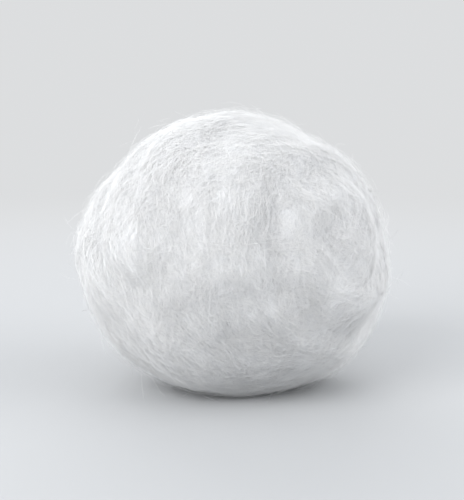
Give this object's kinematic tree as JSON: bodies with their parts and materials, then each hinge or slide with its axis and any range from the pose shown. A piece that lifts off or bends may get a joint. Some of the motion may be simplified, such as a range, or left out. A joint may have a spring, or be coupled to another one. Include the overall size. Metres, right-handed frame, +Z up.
{
  "type": "cotton ball",
  "caption": "Soft white cotton ball, a strip of carded cotton rolled up and rubbed round, for dabbing, wiping and cleaning skin.",
  "frame": {"origin": "middle of the ball's width and depth, on the surface that it rests on", "axes": "+Z up from the surface that it rests on, +X along the ball's longest extent, +Y across it"},
  "size_m": [0.033, 0.031, 0.029],
  "materials": {
    "cotton": "soft matt white, loose bleached cotton fibre"
  },
  "bodies": {
    "root": {"cotton_ball": "cotton"}
  },
  "joints": []
}
